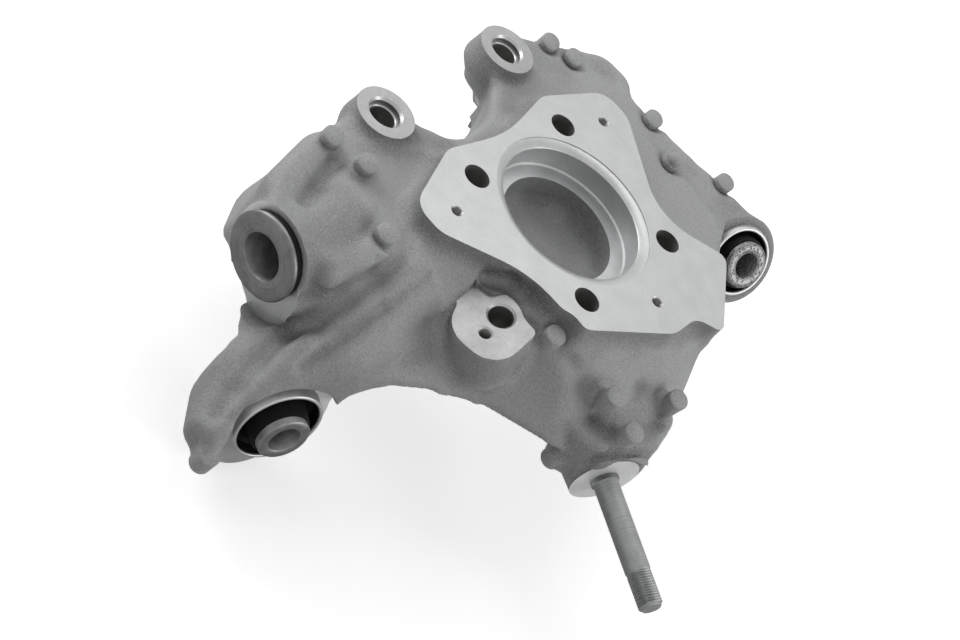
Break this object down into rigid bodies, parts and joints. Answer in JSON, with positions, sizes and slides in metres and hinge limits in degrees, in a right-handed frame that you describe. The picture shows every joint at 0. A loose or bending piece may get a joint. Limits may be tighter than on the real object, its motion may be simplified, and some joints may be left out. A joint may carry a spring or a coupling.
{
  "type": "steering knuckle",
  "caption": "Cast aluminium steering knuckle with a machined hub flange, brake caliper ears, rubber link bushes and a projecting threaded link stud.",
  "frame": {"origin": "centre of the hub bore on the machined flange face", "axes": "+Z out of the flange face, towards the wheel; the brake caliper ears lie at -X and the front link bush at -Y"},
  "size_m": [0.2616, 0.3341, 0.1144],
  "materials": {
    "cast_aluminium": "shot-blasted casting, with bright milled faces",
    "steel_rim": "satin",
    "sleeve_steel": "turned",
    "black_rubber": "moulded matt",
    "zinc_plated_steel": "zinc plated"
  },
  "bodies": {
    "root": {"knuckle_casting": "cast_aluminium", "link_stud": "zinc_plated_steel", "front_link_bush_outer_sleeve": "steel_rim", "front_link_bush_rubber": "black_rubber", "front_link_bush_inner_sleeve": "sleeve_steel", "lower_link_bush_outer_sleeve": "steel_rim", "lower_link_bush_rubber": "black_rubber", "lower_link_bush_inner_sleeve": "sleeve_steel", "upper_link_bush_outer_sleeve": "steel_rim", "upper_link_bush_rubber": "black_rubber", "upper_link_bush_inner_sleeve": "sleeve_steel", "rear_link_bush_outer_sleeve": "steel_rim", "rear_link_bush_rubber": "black_rubber", "rear_link_bush_inner_sleeve": "sleeve_steel"}
  },
  "joints": []
}
